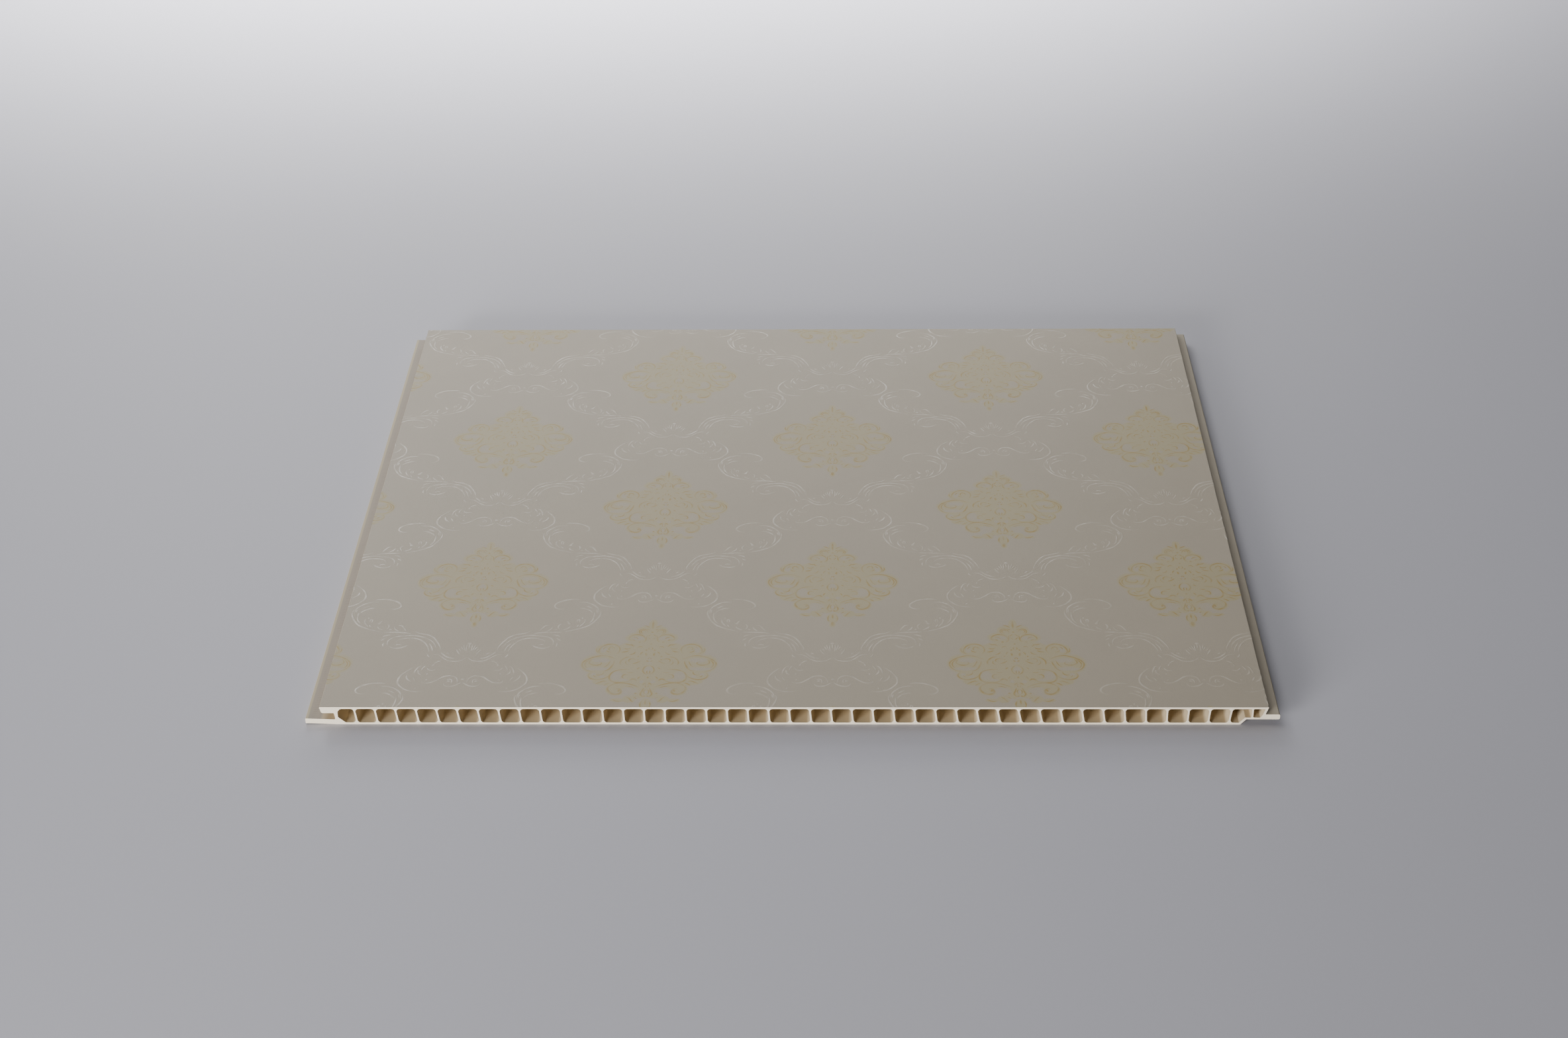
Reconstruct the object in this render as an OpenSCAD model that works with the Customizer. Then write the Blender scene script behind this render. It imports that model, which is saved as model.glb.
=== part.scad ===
// Hollow wall panel: one extruded strip with upright cells, an open groove with a
// nailing flange on one edge and a tongue over a recess on the other.
// It lies on its back: X runs across the panel, Y along the cells, Z up to the face.
// The origin is at the middle of the whole outline, on the back.

/* [Panel] */
// Width of the face, from the lip's nose to the far edge
cover_w = 400; // [200:1:600]
// Length of the cut piece, along the cells
length = 350; // [50:1:3000]
// Thickness from the back to the face
thick = 8.7; // [8:0.1:14]

/* [Walls and cells] */
// Thickness of the face and of the back
skin = 0.85; // [0.6:0.05:1.2]
// Thickness of the upright webs
web_t = 0.7; // [0.6:0.05:1.4]
// Number of webs in the even run between the two joints
web_count = 43; // [16:1:46]
// Rounding of the corners inside the cells
cell_r = 1.4; // [0.2:0.1:1.6]
// Share by which the cells widen towards the tongue, and narrow towards the groove
cell_growth = 0.009; // [0:0.001:0.1]
// Thickness of the walls that turn into the joints
joint_wall = 1; // [0.7:0.05:1.3]

/* [Groove edge] */
// How far the nailing flange stands out past the lip's nose
flange_reach = 6.4; // [4:0.1:12]
// Thickness of the nailing flange
flange_t = 2.4; // [2:0.05:3]
// How far the flange's free edge springs up off the wall before it is nailed
flange_lift = 0.5; // [0:0.1:1]
// How far the lip's nose slants back under the face
nose_slant = 0.7; // [0:0.1:1.5]
// Rounding under the lip's nose
nose_r = 0.9; // [0.1:0.1:1.2]
// Wall between the groove and the first cell
groove_wall = 1.1; // [0.8:0.1:2.5]
// Clear width of the first cell, up to its web
first_cell_w = 7.2; // [6:0.1:10]

/* [Tongue edge] */
// How far the tongue stands out past the face
tongue_reach = 5; // [3:0.1:9]
// Thickness of the tongue
tongue_t = 2.45; // [1.8:0.05:2.8]
// How far the edge under the face slants in, down to the tongue
edge_slant = 1.2; // [0:0.1:1.5]
// Length of the ramp from the back up into the recess
ramp = 2.4; // [1:0.1:5]
// Distance from the last even web to the foot of the ramp
ramp_web = 4.4; // [3.5:0.1:7]
// Distance from the far edge of the face to the web over the recess
recess_web = 6.6; // [5:0.1:8]
// Height of the sealing beads under the tongue
bead_h = 0.15; // [0.05:0.05:0.2]

/* [Fit of two panels] */
// Clearance under the tongue in the next panel's groove
under_gap = 0.25; // [0.25:0.05:0.4]
// Clearance over the tongue in the next panel's groove
over_gap = 0.6; // [0.25:0.05:0.8]
// Clearance between the tongue's end and the bottom of the groove
tongue_gap = 1.5; // [0.2:0.1:2]
// Clearance between the ramp's head and the next panel's flange
flange_gap = 2.6; // [1:0.1:5]

/* [Hidden] */

// Steps in each rounded corner
corner_steps = 6;
// Small rounding of outside edges, and of inside corners at the joints
edge_r = 0.25;
joint_r = 0.5;

// Heights that the two joint edges share
ceiling_z = thick - skin;
tongue_z = flange_t + under_gap;
tongue_top = tongue_z + tongue_t;
lip_z = tongue_top + over_gap;
recess_floor = tongue_z + skin;

// Groove edge
groove_d = tongue_reach + tongue_gap;
groove_slant = 0.45;
first_wall_x = groove_d + groove_wall;
shoulder_r = 2.8;
heel_w = 3.1;
heel_h = 2.8;

// Tongue edge
ramp_head = cover_w - flange_reach - flange_gap;
ramp_foot = ramp_head - ramp;
ramp_angle = atan2(tongue_z, ramp);
ramp_inset = (skin * cos(ramp_angle) - joint_wall) / sin(ramp_angle);
tongue_x = cover_w + tongue_reach;
edge_root = cover_w - edge_slant;
edge_lean = edge_slant / (thick - tongue_top);
recess_web_x = cover_w - recess_web;
root_fill = 1;
bead_w = 0.4;
beads = [2.9, 1.7];

// Even run of webs: where it starts and ends, and how the webs lean along it,
// as pairs of place along the run and degrees towards the groove
first_web = first_wall_x + first_cell_w + web_t / 2;
last_web = ramp_foot - ramp_web;
web_lean = [
    [0, 7], [0.12, 9], [0.26, 4], [0.36, 1], [0.5, 5],
    [0.64, 6.5], [0.76, 13], [0.86, 9], [0.93, 0], [1, -7]
];

// Middle of the whole outline
mid_x = (tongue_x - flange_reach) / 2;

// Rounded outlines: a corner is [x, z, radius]
function flat(p) = [p.x, p.y];
function unit(v) = v / norm(v);
function short_turn(a) = a > 180 ? a - 360 : a < -180 ? a + 360 : a;

// Arc between the sides p-a and p-b, no longer than half of either side
function arc(a, p, b, r) =
    let (
        ua = unit(a - p),
        ub = unit(b - p),
        half = acos(ua * ub) / 2,
        reach = min(r / tan(half), norm(a - p) / 2, norm(b - p) / 2),
        fit_r = reach * tan(half),
        centre = p + unit(ua + ub) * fit_r / sin(half),
        from = p + ua * reach - centre,
        to = p + ub * reach - centre,
        start = atan2(from.y, from.x),
        turn = short_turn(atan2(to.y, to.x) - start)
    )
    [for (s = [0:corner_steps])
        let (angle = start + turn * s / corner_steps)
        centre + fit_r * [cos(angle), sin(angle)]];

function rounded(corners) =
    let (n = len(corners))
    [for (i = [0:n - 1])
        let (p = corners[i])
        each p.z == 0
            ? [flat(p)]
            : arc(flat(corners[(i + n - 1) % n]), flat(p), flat(corners[(i + 1) % n]), p.z)];

// Centre of web k of the even run at height z
function web_x(k, z) =
    let (s = (k - 1) / (web_count - 1))
    first_web
        + (last_web - first_web) * (s + cell_growth * s * (s - 1))
        - tan(lookup(s, web_lean)) * (z - thick / 2);

// Outer outline, from under the flange round to the lip and the groove
function bead(x) = [
    [x - bead_w, tongue_z, 0],
    [x, tongue_z - bead_h, bead_w],
    [x + bead_w, tongue_z, 0]
];
outline = [
    [-flange_reach, flange_lift, edge_r],
    [groove_d, 0, 0],
    [ramp_foot, 0, joint_r],
    [ramp_head, tongue_z, joint_r],
    for (in = beads) each bead(tongue_x - in),
    [tongue_x, tongue_z, tongue_t / 3],
    [tongue_x, tongue_top, tongue_t / 4],
    [edge_root, tongue_top, edge_r],
    [cover_w, thick, edge_r / 2],
    [0, thick, edge_r],
    [nose_slant, lip_z, nose_r],
    [groove_d - groove_slant, lip_z, joint_r],
    [groove_d, flange_t, joint_r],
    [-flange_reach, flange_lift + flange_t, edge_r]
];

// Cell beside the groove, with a round shoulder and a slanted heel
groove_cell = [
    [first_wall_x, skin + heel_h, joint_r],
    [first_wall_x + heel_w, skin, cell_r],
    [web_x(1, skin) - web_t / 2, skin, cell_r],
    [web_x(1, ceiling_z) - web_t / 2, ceiling_z, cell_r],
    [first_wall_x, ceiling_z, shoulder_r]
];

// Cell between web k and the next
function cell(k) = [
    [web_x(k, skin) + web_t / 2, skin, cell_r],
    [web_x(k + 1, skin) - web_t / 2, skin, cell_r],
    [web_x(k + 1, ceiling_z) - web_t / 2, ceiling_z, cell_r],
    [web_x(k, ceiling_z) + web_t / 2, ceiling_z, cell_r]
];

// Cell that steps up over the ramp
ramp_cell = [
    [web_x(web_count, skin) + web_t / 2, skin, cell_r],
    [ramp_foot + ramp_inset, skin, joint_r],
    [ramp_head + ramp_inset, recess_floor, joint_r],
    [recess_web_x - web_t / 2, recess_floor, joint_r],
    [recess_web_x - web_t / 2, ceiling_z, joint_r],
    [web_x(web_count, ceiling_z) + web_t / 2, ceiling_z, cell_r]
];

// Cell over the recess, behind the slanted edge
tongue_cell = [
    [recess_web_x + web_t / 2, recess_floor, joint_r],
    [edge_root - joint_wall - root_fill, recess_floor, joint_r],
    [edge_root - joint_wall, tongue_top, joint_r],
    [cover_w - edge_lean * skin - joint_wall, ceiling_z, edge_r],
    [recess_web_x + web_t / 2, ceiling_z, joint_r]
];

module section() {
    difference() {
        polygon(rounded(outline));
        polygon(rounded(groove_cell));
        for (k = [1:web_count - 1]) {
            polygon(rounded(cell(k)));
        }
        polygon(rounded(ramp_cell));
        polygon(rounded(tongue_cell));
    }
}

module wall_panel() {
    color("ivory")
        translate([-mid_x, length / 2, 0])
            rotate([90, 0, 0])
                linear_extrude(length)
                    section();
}

wall_panel();
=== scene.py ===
import math

import bmesh
import bpy
import numpy as np
from mathutils import Matrix, Vector


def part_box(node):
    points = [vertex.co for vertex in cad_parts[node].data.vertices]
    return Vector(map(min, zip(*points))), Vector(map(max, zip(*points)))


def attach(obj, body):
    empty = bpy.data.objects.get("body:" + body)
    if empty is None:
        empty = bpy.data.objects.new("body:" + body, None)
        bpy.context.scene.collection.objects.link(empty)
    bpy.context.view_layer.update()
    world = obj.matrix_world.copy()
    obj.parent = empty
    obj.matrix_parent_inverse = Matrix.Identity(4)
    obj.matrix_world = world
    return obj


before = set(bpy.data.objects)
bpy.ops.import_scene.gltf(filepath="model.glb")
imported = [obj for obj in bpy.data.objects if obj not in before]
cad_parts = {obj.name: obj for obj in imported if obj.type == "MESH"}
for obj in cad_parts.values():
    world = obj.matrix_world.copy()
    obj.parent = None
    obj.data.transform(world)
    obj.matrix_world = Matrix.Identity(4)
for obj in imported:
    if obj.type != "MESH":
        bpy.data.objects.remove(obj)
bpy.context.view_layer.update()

bl_info = {
    "name": "Hollow wall panel finish",
    "version": (1, 0, 0),
    "blender": (4, 5, 0),
    "location": "3D View > Sidebar > Wall panel",
    "description": "Film face, gilt and pearl ornament, saw-cut ends and studio for a hollow wall panel",
    "category": "Object",
}

NODE = "wall_panel"
BODY = "root"
MM = 0.001
LOW, HIGH = (np.array(corner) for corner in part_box(NODE))

# The face lies between the lip's nose and the slanted edge, inside the panel's outline
FLANGE_REACH = 6.4 * MM
TONGUE_REACH = 5 * MM
FACE_LOW = np.array([LOW[0] + FLANGE_REACH, LOW[1]])
FACE_HIGH = np.array([HIGH[0] - TONGUE_REACH, HIGH[1]])
FACE_Z = float(HIGH[2])

# How the ornament is modelled: length of its steps, how deep its lines sit in the film,
# how much wider than drawn they are, and how far inside the face's edges they are trimmed
PACE = 0.9 * MM
PEARL_SUNK = 0.012 * MM
GILT_SUNK = 0.01 * MM
SCROLL_PLUMP = 1.9
CREST_PLUMP = 1.7
GILT_PLUMP = 1.0
TRIM = 0.02 * MM

# Finish that the film and its ornament share
FILM_ROUGH = 0.55
FILM_COAT = 0.08
GRAIN_ROUGH = 0.04
SPECULAR = 0.4
BUMP = {"Strength": 0.35, "Distance": 0.08 * MM}

# Half the distance between the marks that the feed wheel pressed into the flange
HALF_TICK = 0.65 * MM

# The ornament repeats on a lattice whose cells alternate, and each motif is the same on both
# sides of its middle line. It is drawn on a board of its own, in board units, right half only.
LATTICE_X = 79.28 * MM
LATTICE_Y = 65.95 * MM
FIRST = (-140.9 * MM, -76.6 * MM)
BOARD = np.array([0.0820, 0.0897]) * MM

# Each stroke is its half width and the points that it runs through. A dot is its middle
# and its radius.
GILT_STROKES = [
    # spike, its dot and the two leaves beside it
    (7, [(0, 376), (0, 345), (0, 322), (0, 300)]),
    (5, [(14, 312), (24, 322), (38, 332), (56, 339)]),
    (4, [(12, 292), (24, 300), (34, 306)]),
    # small volutes under the spike
    (5, [(36, 279), (44, 292), (56, 292), (62, 280), (54, 268), (44, 272)]),
    (5, [(22, 268), (30, 290), (44, 303), (60, 301), (70, 287), (68, 268), (56, 258), (44, 260)]),
    # ring in the middle of the crown
    (4, [(20, 233), (14, 249), (0, 255)]),
    (4, [(20, 233), (14, 217), (0, 211)]),
    (5, [(18, 250), (28, 236), (29, 214), (33, 200), (46, 186)]),
    # upper scroll
    (6, [(32, 204), (36, 224), (46, 242), (62, 251), (84, 254), (104, 246), (118, 232),
         (123, 218), (118, 208), (106, 205), (97, 213)]),
    (5, [(86, 198), (94, 206), (104, 209)]),
    (5, [(70, 212), (78, 224), (92, 228), (102, 224)]),
    (5, [(82, 157), (92, 152), (100, 158), (106, 170)]),
    # leaves between the scrolls
    (6, [(103, 142), (114, 130), (128, 128), (146, 136)]),
    (6, [(113, 119), (122, 108), (138, 102), (157, 100)]),
    (5, [(92, 170), (108, 164), (124, 166), (140, 176)]),
    # upper side volute
    (6, [(178, 84), (166, 103), (163, 126), (171, 148), (190, 164), (215, 170), (241, 163),
         (260, 147), (272, 126), (275, 105), (265, 88), (246, 81)]),
    (5, [(284, 138), (288, 124), (285, 108), (275, 91)]),
    (5, [(190, 122), (196, 138), (209, 146), (221, 138), (222, 122), (212, 114)]),
    (5, [(235, 120), (228, 106), (214, 100), (202, 104)]),
    (4, [(232, 148), (246, 138), (254, 122)]),
    # large side volute
    (6, [(168, 44), (186, 46), (203, 57), (227, 67), (256, 70), (286, 62), (312, 49),
         (337, 30), (352, 6), (350, -20), (335, -45), (311, -61), (288, -68)]),
    (5, [(310, 42), (328, 24), (339, 2), (336, -20), (324, -38)]),
    (6, [(186, 28), (187, 8), (195, -16), (205, -40), (222, -56), (242, -63)]),
    (6, [(300, 45), (313, 28), (318, 9), (305, -5), (284, -12), (262, -8), (251, 5),
         (258, 17), (272, 16)]),
    (4, [(206, 30), (212, 8), (222, -14), (240, -32)]),
    # lower side scroll
    (6, [(297, -70), (309, -84), (313, -102), (301, -121), (280, -131), (258, -133),
         (234, -125), (211, -110), (200, -86)]),
    (5, [(235, -62), (236, -80), (249, -94), (264, -96), (274, -88)]),
    (4, [(286, -92), (281, -106), (266, -113)]),
    # inner lower scroll
    (6, [(98, -46), (130, -48), (162, -54), (184, -68), (197, -88), (202, -112),
         (197, -134), (181, -151), (152, -158), (119, -156), (98, -146), (86, -130)]),
    (7, [(96, -144), (84, -130), (68, -129), (55, -146)]),
    (5, [(100, -96), (114, -89), (128, -94), (135, -109), (127, -121), (114, -120)]),
    (4, [(74, -70), (96, -74), (116, -72)]),
    # bottom scroll with its heavy eye
    (6, [(38, -201), (58, -186), (80, -175), (106, -165), (136, -160), (165, -165),
         (186, -178), (200, -195)]),
    (8, [(190, -182), (202, -198), (203, -214), (196, -230), (184, -245), (164, -255),
         (142, -251), (130, -236), (135, -219), (148, -208), (163, -216)]),
    (13, [(135, -227), (143, -225), (151, -223)]),
    (5, [(188, -162), (206, -165), (229, -186)]),
    (5, [(210, -152), (226, -145), (247, -155), (271, -171)]),
    (4, [(60, -206), (78, -196), (98, -190), (114, -194)]),
    # middle arch and what hangs from it
    (7, [(0, -160), (14, -166), (26, -184)]),
    (6, [(14, -198), (22, -228), (30, -252), (20, -271), (0, -276)]),
    (4, [(10, -185), (7, -177), (0, -175)]),
    (4, [(10, -185), (7, -193), (0, -195)]),
    (4, [(0, -213), (10, -222), (13, -236), (9, -250), (0, -256)]),
    (6, [(0, -268), (10, -270), (16, -276)]),
    (5, [(18, -308), (25, -330), (26, -346), (20, -366)]),
    (6, [(0, -298), (0, -318), (0, -342)]),
    (11, [(0, -366), (0, -386), (0, -408)]),
    (5, [(102, -275), (84, -290), (71, -312), (56, -320)]),
    (5, [(118, -308), (140, -313), (160, -306), (174, -291)]),
    (4, [(64, -276), (52, -288), (40, -292)]),
    # heart of the medallion
    (5, [(0, -14), (14, -19), (25, -34), (30, -55), (23, -76), (10, -88), (0, -90)]),
    (4, [(0, -54), (7, -60), (8, -70), (6, -80), (0, -86)]),
    (7, [(0, -106), (0, -114), (0, -124)]),
    (5, [(44, -30), (54, -36), (63, -46)]),
    (5, [(36, -104), (48, -116), (52, -132)]),
    (6, [(100, 62), (121, 57), (140, 42), (151, 24), (154, 4), (146, -12)]),
    (5, [(70, 34), (84, 43), (100, 42), (110, 31), (108, 19), (97, 14)]),
    (5, [(44, 30), (60, 15), (76, 5), (92, 0)]),
    (4, [(120, 30), (126, 12), (118, -4), (104, -10)]),
    (8, [(16, 116), (22, 118), (28, 119)]),
    (7, [(26, 96), (20, 80), (21, 64)]),
    (5, [(36, 106), (50, 88), (50, 74)]),
    (5, [(0, 20), (11, 23), (16, 32)]),
    (4, [(0, 38), (9, 46), (0, 56)]),
    (7, [(56, 63), (62, 64), (68, 64)]),
    (4, [(0, 120), (10, 126), (11, 136), (0, 144)]),
    (4, [(40, 142), (54, 150), (66, 146), (72, 134)]),
    (5, [(78, 108), (84, 92), (96, 82), (112, 82)]),
]
GILT_DOTS = [(0, 275, 7), (63, 188, 7), (0, 170, 6), (55, -247, 7), (0, 50, 5), (62, 34, 6)]

# The gilt tint under the strokes, as ovals, and the openings in it that stay bare
TINTED = [
    (0, 330, 24, 56), (40, 285, 46, 44), (60, 225, 80, 50), (0, 190, 72, 62), (60, 120, 130, 72),
    (220, 115, 74, 64), (150, 20, 150, 92), (285, 0, 78, 78), (100, -70, 200, 82),
    (255, -95, 64, 52), (110, -150, 130, 62), (225, -150, 62, 30), (160, -215, 54, 50),
    (40, -225, 56, 66), (85, -295, 34, 30), (145, -305, 36, 15), (0, -335, 31, 47),
    (0, -390, 17, 27),
]
OPENINGS = [
    (70, 222, 30, 15), (248, 120, 14, 26), (255, 30, 45, 20), (270, -42, 60, 14),
    (285, -90, 12, 12), (240, -108, 14, 12), (165, -100, 30, 38), (130, -135, 26, 9),
    (90, -230, 44, 36), (30, -150, 12, 12), (0, -45, 18, 22), (0, -235, 9, 15), (50, -290, 12, 10),
]

PEARL_STROKES = [
    # large scroll beside the medallion
    (4, [(395, 562), (405, 570), (438, 573), (470, 570), (500, 560), (526, 545), (542, 528),
         (547, 511), (540, 495), (525, 485), (505, 483), (488, 490)]),
    (3.6, [(425, 546), (400, 547), (375, 543), (349, 531), (325, 511), (310, 492), (303, 468),
           (301, 440)]),
    (3, [(316, 484), (311, 466), (310, 448)]),
    (3.8, [(300, 482), (291, 462), (290, 440), (295, 418), (305, 394), (319, 367), (334, 346),
           (350, 331), (374, 317), (401, 303), (430, 293), (452, 285), (482, 277)]),
    (3.2, [(325, 456), (324, 424), (328, 391), (338, 367), (353, 349)]),
    (3.4, [(379, 513), (362, 505), (349, 497), (336, 489)]),
    (3.6, [(411, 490), (390, 490), (370, 482), (351, 469), (339, 457), (335, 444)]),
    # curled leaf inside it
    (4.6, [(380, 400), (386, 401), (392, 399)]),
    (3.4, [(373, 396), (369, 372), (378, 350), (399, 321)]),
    (3, [(402, 359), (398, 376), (404, 392), (412, 376), (406, 356)]),
    (3, [(401, 346), (405, 332), (413, 319)]),
    (3.2, [(469, 381), (456, 361), (446, 343)]),
    (3.2, [(445, 330), (454, 312), (469, 302), (486, 295)]),
    (3.2, [(494, 351), (507, 336), (509, 319), (499, 299)]),
    (3.4, [(537, 326), (544, 306), (557, 292), (571, 283)]),
    (3.4, [(554, 338), (575, 335), (589, 318), (599, 301), (608, 284)]),
    # stem that joins the two scrolls
    (3.6, [(480, 277), (515, 275), (552, 274), (600, 271), (641, 262)]),
    (3.2, [(489, 231), (499, 243), (518, 250), (536, 255)]),
    (3.2, [(484, 199), (496, 212), (513, 223)]),
    (3, [(503, 184), (501, 165), (505, 147)]),
    # small scroll
    (3.6, [(534, 158), (524, 165), (522, 182), (525, 201), (536, 218), (554, 232), (576, 239),
           (605, 243), (640, 247), (671, 244), (701, 235), (730, 222), (756, 201), (774, 176),
           (785, 152), (791, 134)]),
    (4.4, [(535, 156), (550, 141), (574, 134), (600, 139), (621, 150), (638, 166)]),
    (3.4, [(567, 181), (572, 200), (590, 212), (612, 220), (640, 223), (670, 219), (697, 207),
           (720, 186), (738, 160), (750, 131), (757, 99)]),
    (3.6, [(655, 291), (665, 277), (684, 266), (705, 260), (726, 254), (746, 243), (765, 228),
           (781, 205), (796, 179), (809, 149), (815, 126), (808, 114)]),
    (2.8, [(745, 181), (760, 156), (770, 131), (775, 104)]),
    (3, [(566, 160), (580, 168), (596, 166), (604, 156)]),
]
PEARL_DOTS = [(0, -560, 6), (452, 352, 5), (520, 300, 4)]

CREST_STROKES = [
    # crown of small feathers
    (2.2, [(0, -561), (0, -580), (0, -604)]),
    (2.2, [(13, -567), (15, -588), (14, -612), (11, -632)]),
    (2.2, [(33, -567), (29, -586), (22, -610), (17, -626)]),
    (2.5, [(45, -584), (36, -601), (28, -616)]),
    (2, [(56, -600), (48, -614), (40, -628)]),
    (2.8, [(67, -607), (60, -625), (50, -643), (42, -658)]),
    (3.6, [(0, -677), (12, -690), (26, -704), (46, -712), (75, -714), (96, -708), (115, -695),
           (130, -680), (145, -666), (161, -656), (180, -654), (193, -661)]),
    (4.2, [(64, -690), (86, -686), (105, -678), (120, -666), (133, -652), (149, -631)]),
    (3.2, [(97, -655), (106, -645), (119, -642)]),
    (3.2, [(211, -649), (213, -660), (206, -672), (194, -681)]),
    # cartouche under the crown of the next motif
    (3.8, [(0, 578), (12, 572), (22, 562), (41, 550), (64, 546), (83, 550), (93, 561), (97, 576)]),
    (4, [(25, 570), (26, 586), (28, 601), (36, 618), (51, 630), (70, 634), (91, 631), (110, 621),
         (126, 606), (145, 590), (165, 577), (186, 574), (205, 577), (212, 586), (207, 599)]),
    (3.4, [(147, 688), (158, 683), (172, 680), (186, 683), (195, 692), (199, 706)]),
    (3.2, [(166, 736), (171, 726), (173, 714)]),
    (3.2, [(129, 763), (146, 756), (159, 746), (169, 734)]),
    (4.2, [(264, 706), (282, 695), (301, 675), (316, 656), (326, 640), (335, 620), (338, 600),
           (337, 580), (330, 561), (318, 545), (305, 531), (289, 518), (265, 508), (240, 502),
           (215, 502), (196, 506), (185, 516)]),
    (3.4, [(224, 721), (243, 711), (252, 695), (259, 675), (263, 649)]),
    (4, [(242, 686), (243, 668), (236, 652), (221, 642)]),
    (4, [(298, 641), (297, 622), (289, 605), (276, 592), (261, 585)]),
    (2.8, [(209, 721), (221, 701), (228, 679)]),
    (2.8, [(265, 626), (254, 606), (247, 589)]),
    (3, [(189, 656), (193, 650), (195, 644)]),
    (3, [(235, 536), (238, 530), (242, 524)]),
    (3, [(184, 606), (190, 601), (195, 596)]),
    (3.2, [(58, 572), (54, 588), (60, 602), (74, 606), (86, 598)]),
]
CREST_DOTS = [(72, 590, 5), (0, 604, 5)]


class Wire:
    """A shader socket that takes part in sums like a number.

    Each operator adds one Math node. node() adds any other node: its settings come
    first, then a value or a wire for each socket that is named.
    """

    def __init__(self, tree, socket=None):
        self.tree = tree
        self.socket = socket

    def node(self, kind, settings=(), inputs=(), output=0):
        made = self.tree.nodes.new("ShaderNode" + kind)
        for name, value in dict(settings).items():
            if name == "stops":
                stops = made.color_ramp.elements
                while len(stops) < len(value):
                    stops.new(0.5)
                for stop, (place, colour) in zip(stops, value):
                    stop.position = place
                    stop.color = colour
            else:
                setattr(made, name, value)
        for key, value in dict(inputs).items():
            place = made.inputs[key]
            if isinstance(value, Wire):
                self.tree.links.new(value.socket, place)
            else:
                place.default_value = value
        return Wire(self.tree, made.outputs[output])

    def sum(self, operation, *values):
        return self.node("Math", {"operation": operation}, dict(enumerate(values)))

    def __add__(self, other):
        return self.sum("ADD", self, other)

    def __sub__(self, other):
        return self.sum("SUBTRACT", self, other)

    def __mul__(self, other):
        return self.sum("MULTIPLY", self, other)

    def __truediv__(self, other):
        return self.sum("DIVIDE", self, other)

    def __rsub__(self, other):
        return self.sum("SUBTRACT", other, self)

    def __rtruediv__(self, other):
        return self.sum("DIVIDE", other, self)

    __radd__ = __add__
    __rmul__ = __mul__

    def __abs__(self):
        return self.sum("ABSOLUTE", self)

    def rise(self, low, high):
        """0 up to low, 1 from high on, and a smooth step between."""
        return self.node(
            "MapRange",
            {"interpolation_type": "SMOOTHSTEP"},
            {"Value": self, "From Min": low, "From Max": high},
        )


def blend(wire, factor, first, second):
    """Colour that goes from first to second as factor goes from 0 to 1."""
    return wire.node("Mix", {"data_type": "RGBA"}, {0: factor, 6: first, 7: second}, 2)


def noise(wire, place, size, detail=2.0, stretch=(1, 1, 1)):
    """Noise from 0 to 1 whose grains are about size metres, longer where stretch is."""
    scale = tuple(1 / (size * s) for s in stretch)
    spread = wire.node("Mapping", {}, {"Vector": place, "Scale": scale})
    return wire.node("TexNoise", {}, {"Vector": spread, "Scale": 1.0, "Detail": detail})


def new_material(name, **fixed):
    """A material with its shader's fixed sockets set, and the wire to build it with."""
    material = bpy.data.materials.new(name)
    material.use_nodes = True
    shader = material.node_tree.nodes["Principled BSDF"]
    for key, value in fixed.items():
        shader.inputs[key.replace("_", " ")].default_value = value
    return material, shader, Wire(material.node_tree)


def plug(wire, shader, **sources):
    for key, source in sources.items():
        wire.tree.links.new(source.socket, shader.inputs[key.replace("_", " ")])


def rgba(colour):
    return (*colour, 1.0)


def shade(colour, share):
    return rgba([min(1, part * share) for part in colour])


def paint(name, default, description):
    return bpy.props.FloatVectorProperty(
        name=name, description=description, subtype="COLOR", size=3, min=0, max=1, default=default
    )


def size_of(name, default, description):
    return bpy.props.FloatProperty(
        name=name, description=description, unit="LENGTH", precision=5, min=0, default=default
    )


def amount(name, default, description):
    return bpy.props.FloatProperty(name=name, description=description, min=0, default=default)


def angle(name, default, description):
    return bpy.props.FloatProperty(
        name=name, description=description, subtype="ANGLE", default=math.radians(default)
    )


class PanelFinish(bpy.types.PropertyGroup):
    film: paint("Film", (0.362, 0.31, 0.232), "Pearl film on the face")
    tint: paint("Gilt tint", (0.385, 0.32, 0.13), "Gilt tint of the film in the medallions")
    wash: amount("Gilt tint share", 0.5, "How strong the gilt tint is")
    # The cell walls are the same plastic as the raw parts, but get their own warmer tan: the plastic's
    # own tan plus painted bounce light inside the cells
    cell: paint("Cell walls", (0.58, 0.47, 0.305), "Walls inside the cells")
    cut: paint("Saw cut", (0.82, 0.725, 0.57), "Fresh plastic on the two cut ends")
    raw: paint("Raw plastic", (0.44, 0.38, 0.285), "Extruded plastic on the joints and the back")
    strip: paint("Flange", (0.36, 0.308, 0.245), "Plastic on top of the nailing flange")
    rim: paint("Flange rim", (0.52, 0.445, 0.3), "Worn plastic along the flange's free edge")
    dust_and_shade: paint("Dust and shade", (0.09, 0.085, 0.085), "Saw dust and dirt caught beside the tongue")
    # Near-black specks on the slanted edge and in the groove beside the tongue, under the face's edge:
    # partly dust, partly painted shade of the groove
    pearl: paint("Pearl", (0.48, 0.425, 0.34), "Raised pearl lines")
    gilt: paint("Gilt", (0.33, 0.225, 0.045), "Gilt ink of the medallions")
    relief: size_of("Relief", 0.032 * MM, "Height of the pearl lines over the film")
    ink: size_of("Ink", 0.012 * MM, "Height of the gilt ink over the film")
    grain: size_of("Film grain", 0.45 * MM, "Size of the fine grains in the film")
    saw_pitch: size_of("Saw marks", 0.5 * MM, "Distance between the saw's marks")


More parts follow.
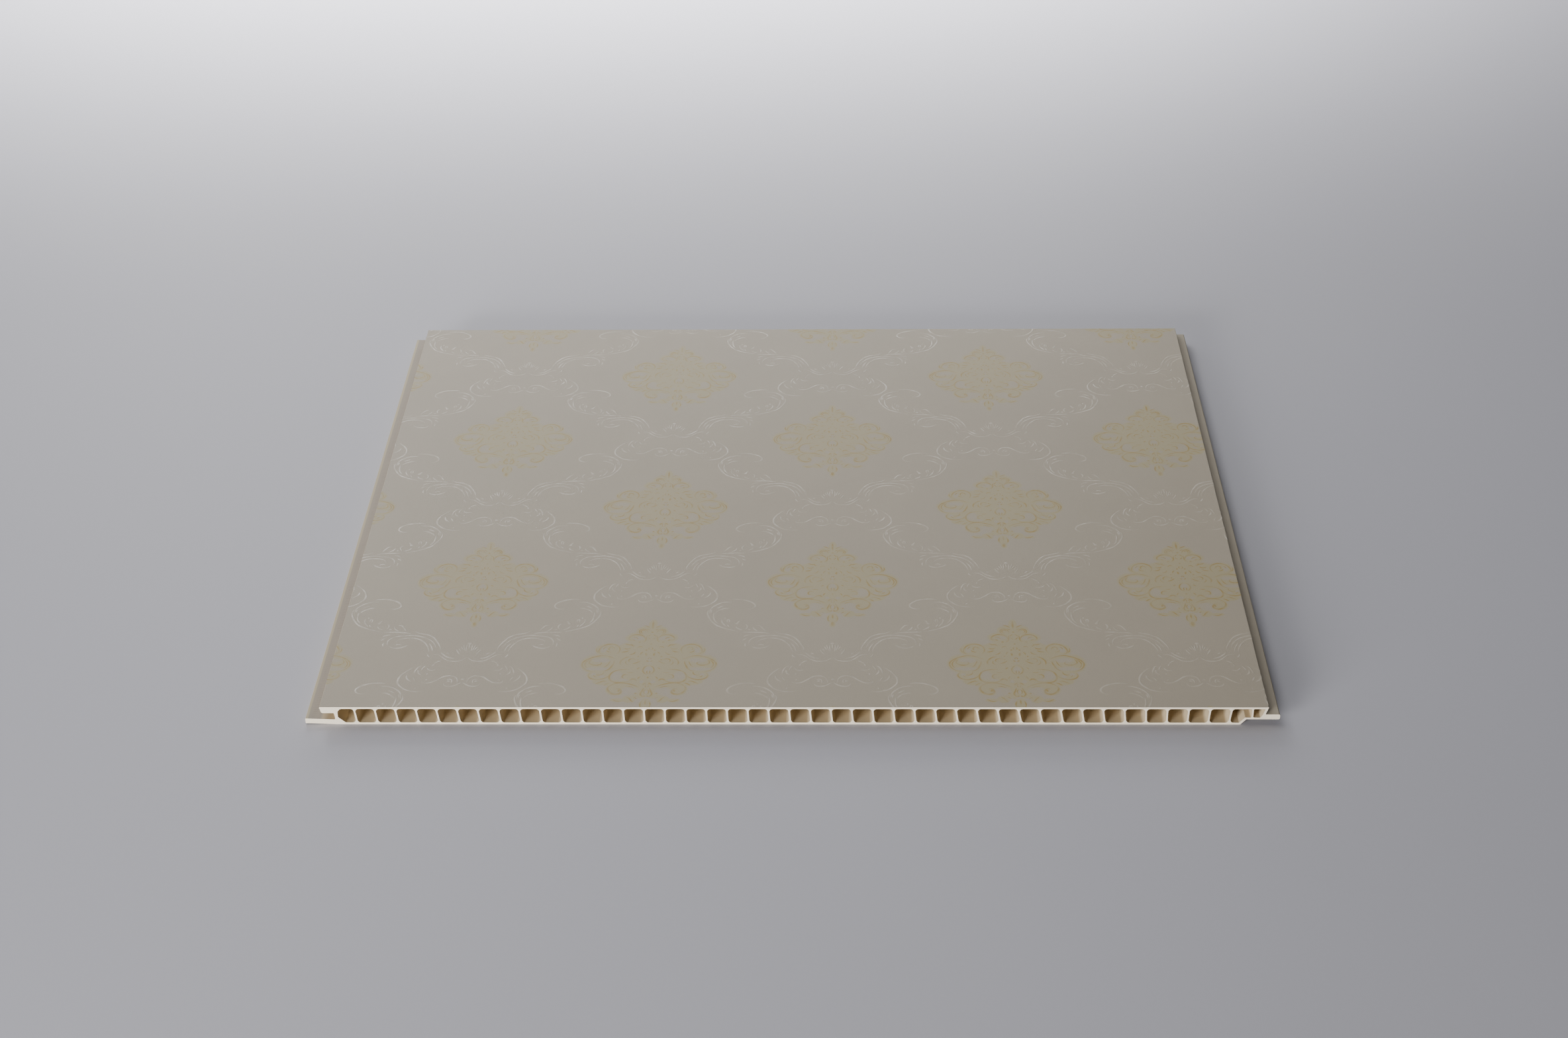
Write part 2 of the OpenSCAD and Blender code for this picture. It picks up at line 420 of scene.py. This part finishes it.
class StudioSetup(bpy.types.PropertyGroup):
    floor: paint("Floor", (0.51, 0.505, 0.555), "Pale seamless floor")
    floor_size: size_of("Floor size", 8.0, "Side of the square floor")
    lens: size_of("Lens", 0.05996, "Focal length, for a sensor 36 mm wide")
    tilt: angle("Camera tilt", 31.12, "How far the camera looks down")
    turn: angle("Camera turn", 1.25, "How far the camera is turned to the left")
    roll: angle("Camera roll", -0.71, "How far the camera is rolled")
    top: amount("Top light", 8.8, "Power of the soft box over the panel, in watts")
    back: amount("Back light", 3.0, "Power of the soft box behind the panel, in watts")
    low: amount("Low light", 5.8, "Power of the low soft box behind the panel, in watts")
    far: amount("Far light", 16.0, "Power of the soft box over the far floor, in watts")
    front: amount("Front light", 59.0, "Power of the soft box beside the camera, in watts")
    glint: amount("Glint light", 3.2, "Power of the small soft box at the far left, in watts")
    under: amount("Under light", 14.0, "Power of the soft box below the floor, in watts")
    sky: amount("Room light", 0.03, "Strength of the even light of the room")


def ovals(wire, place, spots, soft=0.12):
    """1 inside any of the ovals, 0 outside all of them, with a soft edge.

    An oval is its middle and its two half sizes. The distance from its middle, with each
    direction divided by its half size, is 1 on its edge.
    """
    inside = 0.0
    for x, y, wide, tall in spots:
        centred = wire.node(
            "Mapping",
            {"vector_type": "TEXTURE"},
            {"Vector": place, "Location": (x, y, 0), "Scale": (wide, tall, 1)},
        )
        away = wire.node("VectorMath", {"operation": "LENGTH"}, {0: centred}, 1)
        inside = wire.sum("MAXIMUM", 1 - away.rise(1 - soft, 1 + soft), inside)
    return inside


def medallion_tint(wire, place):
    """How much gilt tint lies on the film, from 0 to 1.

    Columns of medallions are one lattice step apart, and every other column is shifted by
    one step along the panel. The distance from a column's middle is a triangle wave, and
    the place along a column is wrapped between two medallions.
    """
    x = wire.node("SeparateXYZ", {}, {0: place}, 0)
    y = wire.node("SeparateXYZ", {}, {0: place}, 1)
    across = x - FIRST[0]
    column = wire.sum("ROUND", across / LATTICE_X)
    odd = wire.sum("FLOORED_MODULO", column, 2.0)
    aside = wire.sum("PINGPONG", across, LATTICE_X / 2) / BOARD[0]
    along = wire.sum("WRAP", y - FIRST[1] - odd * LATTICE_Y, LATTICE_Y, -LATTICE_Y) / BOARD[1]
    wobble = noise(wire, place, 2.5 * MM) * 14 - 7
    board = wire.node("CombineXYZ", {}, {0: aside + wobble, 1: along + wobble, 2: 0.0})
    return ovals(wire, board, TINTED) * (1 - 0.8 * ovals(wire, board, OPENINGS, 0.3))


def film_look(wire, place, look):
    """Colour of the film with its gilt tint, the fine grain in it and its soft clouds."""
    grain = noise(wire, place, look.grain)
    cloud = noise(wire, place, 30 * MM)
    film = blend(wire, grain * 0.6 + cloud * 0.4, shade(look.film, 0.9), shade(look.film, 1.13))
    gilded = blend(wire, grain, shade(look.tint, 0.95), shade(look.tint, 1.05))
    return blend(wire, medallion_tint(wire, place) * look.wash, film, gilded), grain, cloud


class PANEL_OT_finish(bpy.types.Operator):
    """Gives the panel its film face, its saw-cut ends and its raw plastic"""

    bl_idname = "panel.finish"
    bl_label = "Panel finish"

    def execute(self, context):
        look = context.scene.panel_finish
        material, shader, wire = new_material(
            "panel plastic and film", Specular_IOR_Level=SPECULAR, Coat_Roughness=0.3, IOR=1.5
        )
        place = wire.node("TexCoord", output="Object")
        normal = wire.node("NewGeometry", output="Normal")
        across = wire.node("SeparateXYZ", {}, {0: place}, 0)
        lengthwise = wire.node("SeparateXYZ", {}, {0: place}, 1)
        height = wire.node("SeparateXYZ", {}, {0: place}, 2)
        up = wire.node("SeparateXYZ", {}, {0: normal}, 2)
        along = abs(wire.node("SeparateXYZ", {}, {0: normal}, 1))
        face = height.rise(FACE_Z - 0.12 * MM, FACE_Z - 0.05 * MM) * up.rise(0.5, 0.8)
        cut = along.rise(0.5, 0.8)
        # Mask of the walls inside the cells, where the tan with painted bounce light goes
        cell = (
            across.rise(FACE_LOW[0] + 0.3 * MM, FACE_LOW[0] + 0.9 * MM)
            * (1 - across.rise(FACE_HIGH[0] - 1.5 * MM, FACE_HIGH[0] - 0.9 * MM))
            * height.rise(0.4 * MM, 0.6 * MM)
            * (1 - height.rise(FACE_Z - 0.7 * MM, FACE_Z - 0.5 * MM))
        )
        film, grain, cloud = film_look(wire, place, look)
        marks = noise(wire, place, look.saw_pitch, stretch=(0.5, 1, 9))
        sawn = blend(wire, marks, shade(look.cut, 0.93), rgba(look.cut))
        raw = blend(wire, cloud, shade(look.raw, 0.96), shade(look.raw, 1.04))
        ticks = wire.sum("PINGPONG", lengthwise, HALF_TICK) / HALF_TICK
        worn = noise(wire, place, 6 * MM, stretch=(1, 3, 1)).rise(0.35, 0.6)
        middle = across.rise(LOW[0] + 2 * MM, LOW[0] + 3 * MM) * (
            1 - across.rise(LOW[0] + 4 * MM, LOW[0] + 5 * MM)
        )
        pressed = blend(
            wire, ticks.rise(0.55, 0.8) * middle * worn, rgba(look.strip), shade(look.strip, 0.84)
        )
        outside = 1 - across.rise(FACE_LOW[0] - 0.1 * MM, FACE_LOW[0])
        raw = blend(wire, outside, raw, pressed)
        rim = 1 - across.rise(LOW[0] + 0.8 * MM, LOW[0] + 1.5 * MM)
        raw = blend(wire, rim, raw, rgba(look.rim))
        # Cell walls: the plastic's own tan plus painted bounce light
        inner = blend(wire, cloud, shade(look.cell, 0.95), shade(look.cell, 1.05))
        raw = blend(wire, cell, raw, inner)
        # Band along the slanted edge and the tongue's root, under the face: patchy near-black painted
        # shade of the groove, with dust specks in it
        beside = across.rise(FACE_HIGH[0] - 0.6 * MM, FACE_HIGH[0] - 0.2 * MM) * (
            1 - across.rise(FACE_HIGH[0] + 0.3 * MM, FACE_HIGH[0] + 0.9 * MM)
        )
        dust_and_shade = noise(wire, place, 0.9 * MM, stretch=(1, 2, 1)).rise(0.6, 0.68)
        patch = noise(wire, place, 12 * MM).rise(0.45, 0.6)
        under_face = 1 - height.rise(FACE_Z - 0.3 * MM, FACE_Z - 0.1 * MM)
        # Painted groove shade with dust specks beside the tongue
        raw = blend(wire, beside * dust_and_shade * patch * under_face * 0.8, raw, rgba(look.dust_and_shade))
        colour = blend(wire, face, blend(wire, cut, raw, sawn), film)
        rough = 0.6 + cut * 0.25 - face * 0.05 + grain * GRAIN_ROUGH
        bump = wire.node("Bump", {}, {**BUMP, "Height": grain * face + marks * cut})
        coat = face * FILM_COAT
        plug(wire, shader, Base_Color=colour, Roughness=rough, Coat_Weight=coat, Normal=bump)
        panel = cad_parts[NODE]
        for slot in panel.material_slots:
            slot.material = material
        return {"FINISHED"}


def aimed(location, target):
    """Matrix that puts an object at location, with its -Z axis towards target."""
    away = Vector(location) - Vector(target)
    return Matrix.Translation(location) @ away.to_track_quat("Z", "Y").to_matrix().to_4x4()


def soft_box(name, power, size, location, target, spread=math.pi):
    """Rectangular light that shines from location towards target."""
    data = bpy.data.lights.new(name, "AREA")
    data.shape = "RECTANGLE"
    data.size, data.size_y = size
    data.energy = power
    data.spread = spread
    light = bpy.data.objects.new(name, data)
    bpy.context.scene.collection.objects.link(light)
    light.matrix_world = aimed(location, target)
    light.visible_camera = False


def new_object(name, verts, loops, starts, material):
    """A mesh object from arrays of points, face corners and where each face starts.

    A fourth number of each point, if there is one, becomes its tone.
    """
    mesh = bpy.data.meshes.new(name)
    mesh.vertices.add(len(verts))
    mesh.vertices.foreach_set("co", np.asarray(verts[:, :3], dtype=np.float32).ravel())
    if verts.shape[1] > 3:
        tone = mesh.attributes.new("tone", "FLOAT", "POINT")
        tone.data.foreach_set("value", np.asarray(verts[:, 3], dtype=np.float32))
    mesh.loops.add(len(loops))
    mesh.loops.foreach_set("vertex_index", np.asarray(loops, dtype=np.int32))
    mesh.polygons.add(len(starts))
    mesh.polygons.foreach_set("loop_start", np.asarray(starts, dtype=np.int32))
    mesh.update(calc_edges=True)
    mesh.materials.append(material)
    made = bpy.data.objects.new(name, mesh)
    bpy.context.scene.collection.objects.link(made)
    return made


def grid_floor(name, size, steps, material):
    """Flat square: x and y run from -size/2 to size/2 on a grid, and z is 0."""
    run = np.linspace(-size / 2, size / 2, steps + 1)
    x, y = np.meshgrid(run, run)
    verts = np.stack([x, y, np.zeros_like(x)], -1).reshape(-1, 3)
    corner = (np.arange(steps)[:, None] * (steps + 1) + np.arange(steps)).ravel()
    quads = corner[:, None] + np.array([0, 1, steps + 2, steps + 1])
    return new_object(name, verts, quads.ravel(), np.arange(len(quads)) * 4, material)


def curve(points, pace):
    """Smooth line through the points, as steps of equal length.

    Between two points the line is a cubic whose slope at each point is half the way from
    the point before it to the point after it. Its length is then shared out evenly.
    """
    points = np.asarray(points, float) * BOARD
    padded = np.vstack([2 * points[0] - points[1], points, 2 * points[-1] - points[-2]])
    t = np.linspace(0, 1, 12, endpoint=False)[:, None]
    before, here, there, after = (padded[i : len(points) - 1 + i, None] for i in range(4))
    line = 0.5 * (
        2 * here
        + (there - before) * t
        + (2 * before - 5 * here + 4 * there - after) * t**2
        + (3 * here - before - 3 * there + after) * t**3
    )
    line = np.vstack([line.reshape(-1, 2), points[-1]])
    reach = np.concatenate([[0], np.cumsum(np.hypot(*np.diff(line, axis=0).T))])
    steps = max(4, int(round(reach[-1] / pace)) + 1)
    even = np.linspace(0, reach[-1], steps)
    return np.stack([np.interp(even, reach, line[:, 0]), np.interp(even, reach, line[:, 1])], -1)


def stroke_body(line, half_width, height, profile, sunk):
    """Raised line with a closed profile, from a path in the plane of the face.

    A point of the surface is the path's point, plus the path's left normal times the
    half width there times the profile's first number, at a height over the face of the
    profile's second number times the height there. The bottom of the profile lies sunk
    below the face. The profile's third number is the point's tone, which fades with the
    height towards the ends.
    """
    ahead = np.gradient(line, axis=0)
    ahead /= np.hypot(*ahead.T)[:, None]
    left = np.stack([-ahead[:, 1], ahead[:, 0]], -1)
    side, rise, tone = profile.T
    flat = line[:, None] + left[:, None] * (half_width[:, None] * side)[..., None]
    level = np.where(rise > 0, rise * height[:, None], -sunk) + FACE_Z
    tone = tone * (height / height.max())[:, None]
    verts = np.concatenate([flat, level[..., None], tone[..., None]], -1).reshape(-1, 4)
    around = len(profile)
    first = (np.arange(len(line) - 1)[:, None] * around + np.arange(around)).ravel()
    turned = (np.arange(len(line) - 1)[:, None] * around + (np.arange(around) + 1) % around).ravel()
    walls = np.stack([first, first + around, turned + around, turned], -1)
    last = (len(line) - 1) * around
    loops = np.concatenate([walls.ravel(), np.arange(around), last + np.arange(around)[::-1]])
    starts = np.concatenate([np.arange(len(walls) + 1) * 4, [len(walls) * 4 + around]])
    return verts, loops, starts


def motif(strokes, dots, height, profile, sunk, plump):
    """Both halves of a motif, round its own middle, as one set of closed bodies.

    A stroke's half width is its drawn one times plump, times 0.3 plus 0.7 of a root of a
    sine arch along it. Its height is the same arch times height. A dot is a short stroke
    across its middle whose half width follows a circle.
    """
    scale = plump * BOARD.mean()
    turn = np.linspace(0.15, math.pi - 0.15, 7)
    parts = []
    for width, points in strokes:
        for mirrored in (1, -1):
            if mirrored < 0 and all(x == 0 for x, y in points):
                continue
            line = curve([(mirrored * x, y) for x, y in points], PACE)
            arch = np.sin(np.linspace(0, math.pi, len(line))) ** 0.5
            half_width = (0.3 + 0.7 * arch) * width * scale
            parts.append(stroke_body(line, half_width, arch * height, profile, sunk))
    for x, y, radius in dots:
        for mirrored in (1, -1) if x else (1,):
            middle = np.array([mirrored * x, y]) * BOARD
            line = middle + np.stack([-np.cos(turn) * radius * scale, 0 * turn], -1)
            arch = np.sin(turn)
            parts.append(stroke_body(line, arch * radius * scale, arch * height, profile, sunk))
    return joined(parts)


def joined(parts):
    """One set of points, face corners and face starts from many."""
    verts, loops, starts = zip(*parts)
    before = np.cumsum([0] + [len(v) for v in verts[:-1]])
    corners = np.cumsum([0] + [len(l) for l in loops[:-1]])
    return (
        np.concatenate(verts),
        np.concatenate([l + b for l, b in zip(loops, before)]),
        np.concatenate([s + c for s, c in zip(starts, corners)]),
    )


def centres(low, high):
    """Middles of the motifs that reach the face: every other cell of the lattice.

    The motif's lowest and highest corners are given from its middle.
    """
    i, j = (a.ravel() for a in np.meshgrid(np.arange(-2, 8), np.arange(-3, 6)))
    keep = (i + j) % 2 == 0
    spots = np.stack([FIRST[0] + i * LATTICE_X, FIRST[1] + j * LATTICE_Y], -1)[keep]
    near = np.all((spots + high >= FACE_LOW) & (spots + low <= FACE_HIGH), axis=1)
    return spots[near]


def printed(name, shape, material):
    """Repeats a motif over the lattice and trims it just inside the face's four edges.

    The lines are so low that their faces are shaded flat: smooth shading would bend the
    light at the ends of the strokes.
    """
    verts, loops, starts = shape
    low, high = verts[:, :2].min(axis=0), verts[:, :2].max(axis=0)
    parts = [(verts + (*spot, 0, 0), loops, starts) for spot in centres(low, high)]
    made = new_object(name, *joined(parts), material)
    shell = bmesh.new()
    shell.from_mesh(made.data)
    for axis in (0, 1):
        for side, edge in ((-1, FACE_LOW), (1, FACE_HIGH)):
            plane = [0, 0, 0]
            plane[axis] = side
            spot = [0, 0, 0]
            spot[axis] = float(edge[axis]) - side * TRIM
            cut = bmesh.ops.bisect_plane(
                shell,
                geom=shell.verts[:] + shell.edges[:] + shell.faces[:],
                plane_co=spot,
                plane_no=plane,
                clear_outer=True,
            )
            rim = [e for e in cut["geom_cut"] if isinstance(e, bmesh.types.BMEdge)]
            bmesh.ops.holes_fill(shell, edges=rim, sides=0)
    shell.to_mesh(made.data)
    shell.free()
    made.data.polygons.foreach_set("use_smooth", np.zeros(len(made.data.polygons), dtype=bool))
    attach(made, BODY)


# Each row of a profile is the place across, the height and the tone
RIDGE = np.array([(-1, -1, 0), (-0.8, 0.25, 0.1), (-0.3, 0.95, 0.9), (0.3, 0.95, 0.9),
                  (0.8, 0.25, 0.1), (1, -1, 0)])
INK = np.array([(-1, -1, 0), (-0.85, 0.7, 0.3), (-0.45, 1, 1.1), (0.45, 1, 1.1),
                (0.85, 0.7, 0.3), (1, -1, 0)])


def film_material(name, look, colour, sheen, rough):
    """Film that turns into another colour and gloss with the tone, unevenly along the lines."""
    material, shader, wire = new_material(name, Specular_IOR_Level=SPECULAR, Coat_Roughness=0.25)
    place = wire.node("TexCoord", output="Object")
    film, grain = film_look(wire, place, look)[:2]
    patch = noise(wire, place, 4 * MM).rise(0.35, 0.65)
    tone = wire.node("Attribute", {"attribute_name": "tone"}, output="Fac")
    glaze = tone.rise(0.05, 0.5) * (0.3 + patch * 0.7)
    tone = tone * (0.2 + patch * 0.65 + grain * 0.35)
    tint = blend(wire, tone, film, rgba(colour))
    bump = wire.node("Bump", {}, {**BUMP, "Height": grain})
    gloss = FILM_ROUGH + grain * GRAIN_ROUGH - glaze * (FILM_ROUGH - rough)
    coat = FILM_COAT + glaze * sheen
    plug(wire, shader, Base_Color=tint, Roughness=gloss, Coat_Weight=coat, Normal=bump)
    return material


class PANEL_OT_pearl(bpy.types.Operator):
    """Raises the pearl scrolls between the medallions"""

    bl_idname = "panel.pearl"
    bl_label = "Pearl scrolls"

    def execute(self, context):
        look = context.scene.panel_finish
        material = film_material("pearl relief", look, look.pearl, 0.04, 0.36)
        shape = motif(PEARL_STROKES, PEARL_DOTS, look.relief, RIDGE, PEARL_SUNK, SCROLL_PLUMP)
        printed("pearl_scrolls", shape, material)
        shape = motif(CREST_STROKES, CREST_DOTS, look.relief, RIDGE, PEARL_SUNK, CREST_PLUMP)
        printed("pearl_crests", shape, material)
        return {"FINISHED"}


class PANEL_OT_gilt(bpy.types.Operator):
    """Prints the gilt medallions on the film"""

    bl_idname = "panel.gilt"
    bl_label = "Gilt medallions"

    def execute(self, context):
        look = context.scene.panel_finish
        material = film_material("gilt ink", look, look.gilt, 0.02, 0.52)
        shape = motif(GILT_STROKES, GILT_DOTS, look.ink, INK, GILT_SUNK, GILT_PLUMP)
        printed("gilt_medallions", shape, material)
        return {"FINISHED"}


class PANEL_OT_studio(bpy.types.Operator):
    """Adds the floor, the soft boxes, the room's light and the camera"""

    bl_idname = "panel.studio"
    bl_label = "Studio"

    def execute(self, context):
        setup = context.scene.panel_studio
        material, shader, wire = new_material("floor paper", Roughness=0.6, Specular_IOR_Level=0.3)
        place = wire.node("TexCoord", output="Object")
        cloud = noise(wire, place, 0.25)
        fibre = noise(wire, place, 2 * MM)
        tint = blend(
            wire,
            cloud * 0.6 + fibre * 0.4,
            shade(setup.floor, 0.97),
            shade(setup.floor, 1.03),
        )
        plug(wire, shader, Base_Color=tint)
        grid_floor("floor", setup.floor_size, 8, material)
        soft_box("top soft box", setup.top, (1.2, 1.2), (-0.5, 0.6, 1.2), (0, 0, 0))
        soft_box("back soft box", setup.back, (1.2, 0.8), (0.3, 1.5, 0.8), (0, 0.3, 0))
        soft_box("low soft box", setup.low, (1.0, 0.3), (-0.15, 1.0, 0.34), (-0.05, 0.7, 0))
        soft_box("far soft box", setup.far, (1.0, 0.4), (-0.2, 1.0, 0.6), (-0.2, 1.1, 0), 2.0)
        soft_box("glint soft box", setup.glint, (0.3, 0.2), (-0.62, 1.15, 0.76), (-0.15, 0, 0))
        soft_box("front soft box", setup.front, (0.8, 0.4), (-1.0, -1.6, 0.3), (0, 0, 0))
        soft_box("under soft box", setup.under, (1.2, 1.2), (0.3, -0.5, -1.2), (0, 0, 0))
        world = bpy.data.worlds.new("room")
        world.use_nodes = True
        room = world.node_tree.nodes["Background"]
        room.inputs["Color"].default_value = (0.93, 0.96, 1.0, 1)
        room.inputs["Strength"].default_value = setup.sky
        context.scene.world = world
        data = bpy.data.cameras.new("camera")
        data.sensor_fit = "HORIZONTAL"
        data.sensor_width = 36.0
        data.lens = setup.lens / MM
        data.clip_start = 0.01
        camera = bpy.data.objects.new("camera", data)
        context.scene.collection.objects.link(camera)
        camera.matrix_world = (
            Matrix.Translation((0.0178, -1.0748, 0.6447))
            @ Matrix.Rotation(setup.turn, 4, "Z")
            @ Matrix.Rotation(math.pi / 2 - setup.tilt, 4, "X")
            @ Matrix.Rotation(setup.roll, 4, "Z")
        )
        context.scene.camera = camera
        return {"FINISHED"}


class PANEL_PT_sidebar(bpy.types.Panel):
    bl_idname = "PANEL_PT_sidebar"
    bl_label = "Wall panel"
    bl_space_type = "VIEW_3D"
    bl_region_type = "UI"
    bl_category = "Wall panel"

    def draw(self, context):
        for group in (context.scene.panel_finish, context.scene.panel_studio):
            for name in group.__annotations__:
                self.layout.prop(group, name)
        for maker in OPERATORS:
            self.layout.operator(maker.bl_idname)


OPERATORS = (PANEL_OT_finish, PANEL_OT_pearl, PANEL_OT_gilt, PANEL_OT_studio)
GROUPS = (PanelFinish, StudioSetup)
CLASSES = GROUPS + OPERATORS + (PANEL_PT_sidebar,)


def register():
    for made in CLASSES:
        bpy.utils.register_class(made)
    bpy.types.Scene.panel_finish = bpy.props.PointerProperty(type=PanelFinish)
    bpy.types.Scene.panel_studio = bpy.props.PointerProperty(type=StudioSetup)


def unregister():
    del bpy.types.Scene.panel_finish
    del bpy.types.Scene.panel_studio
    for made in reversed(CLASSES):
        bpy.utils.unregister_class(made)


def main():
    register()
    bpy.ops.panel.finish()
    bpy.ops.panel.pearl()
    bpy.ops.panel.gilt()
    bpy.ops.panel.studio()


if __name__ == "__main__":
    main()
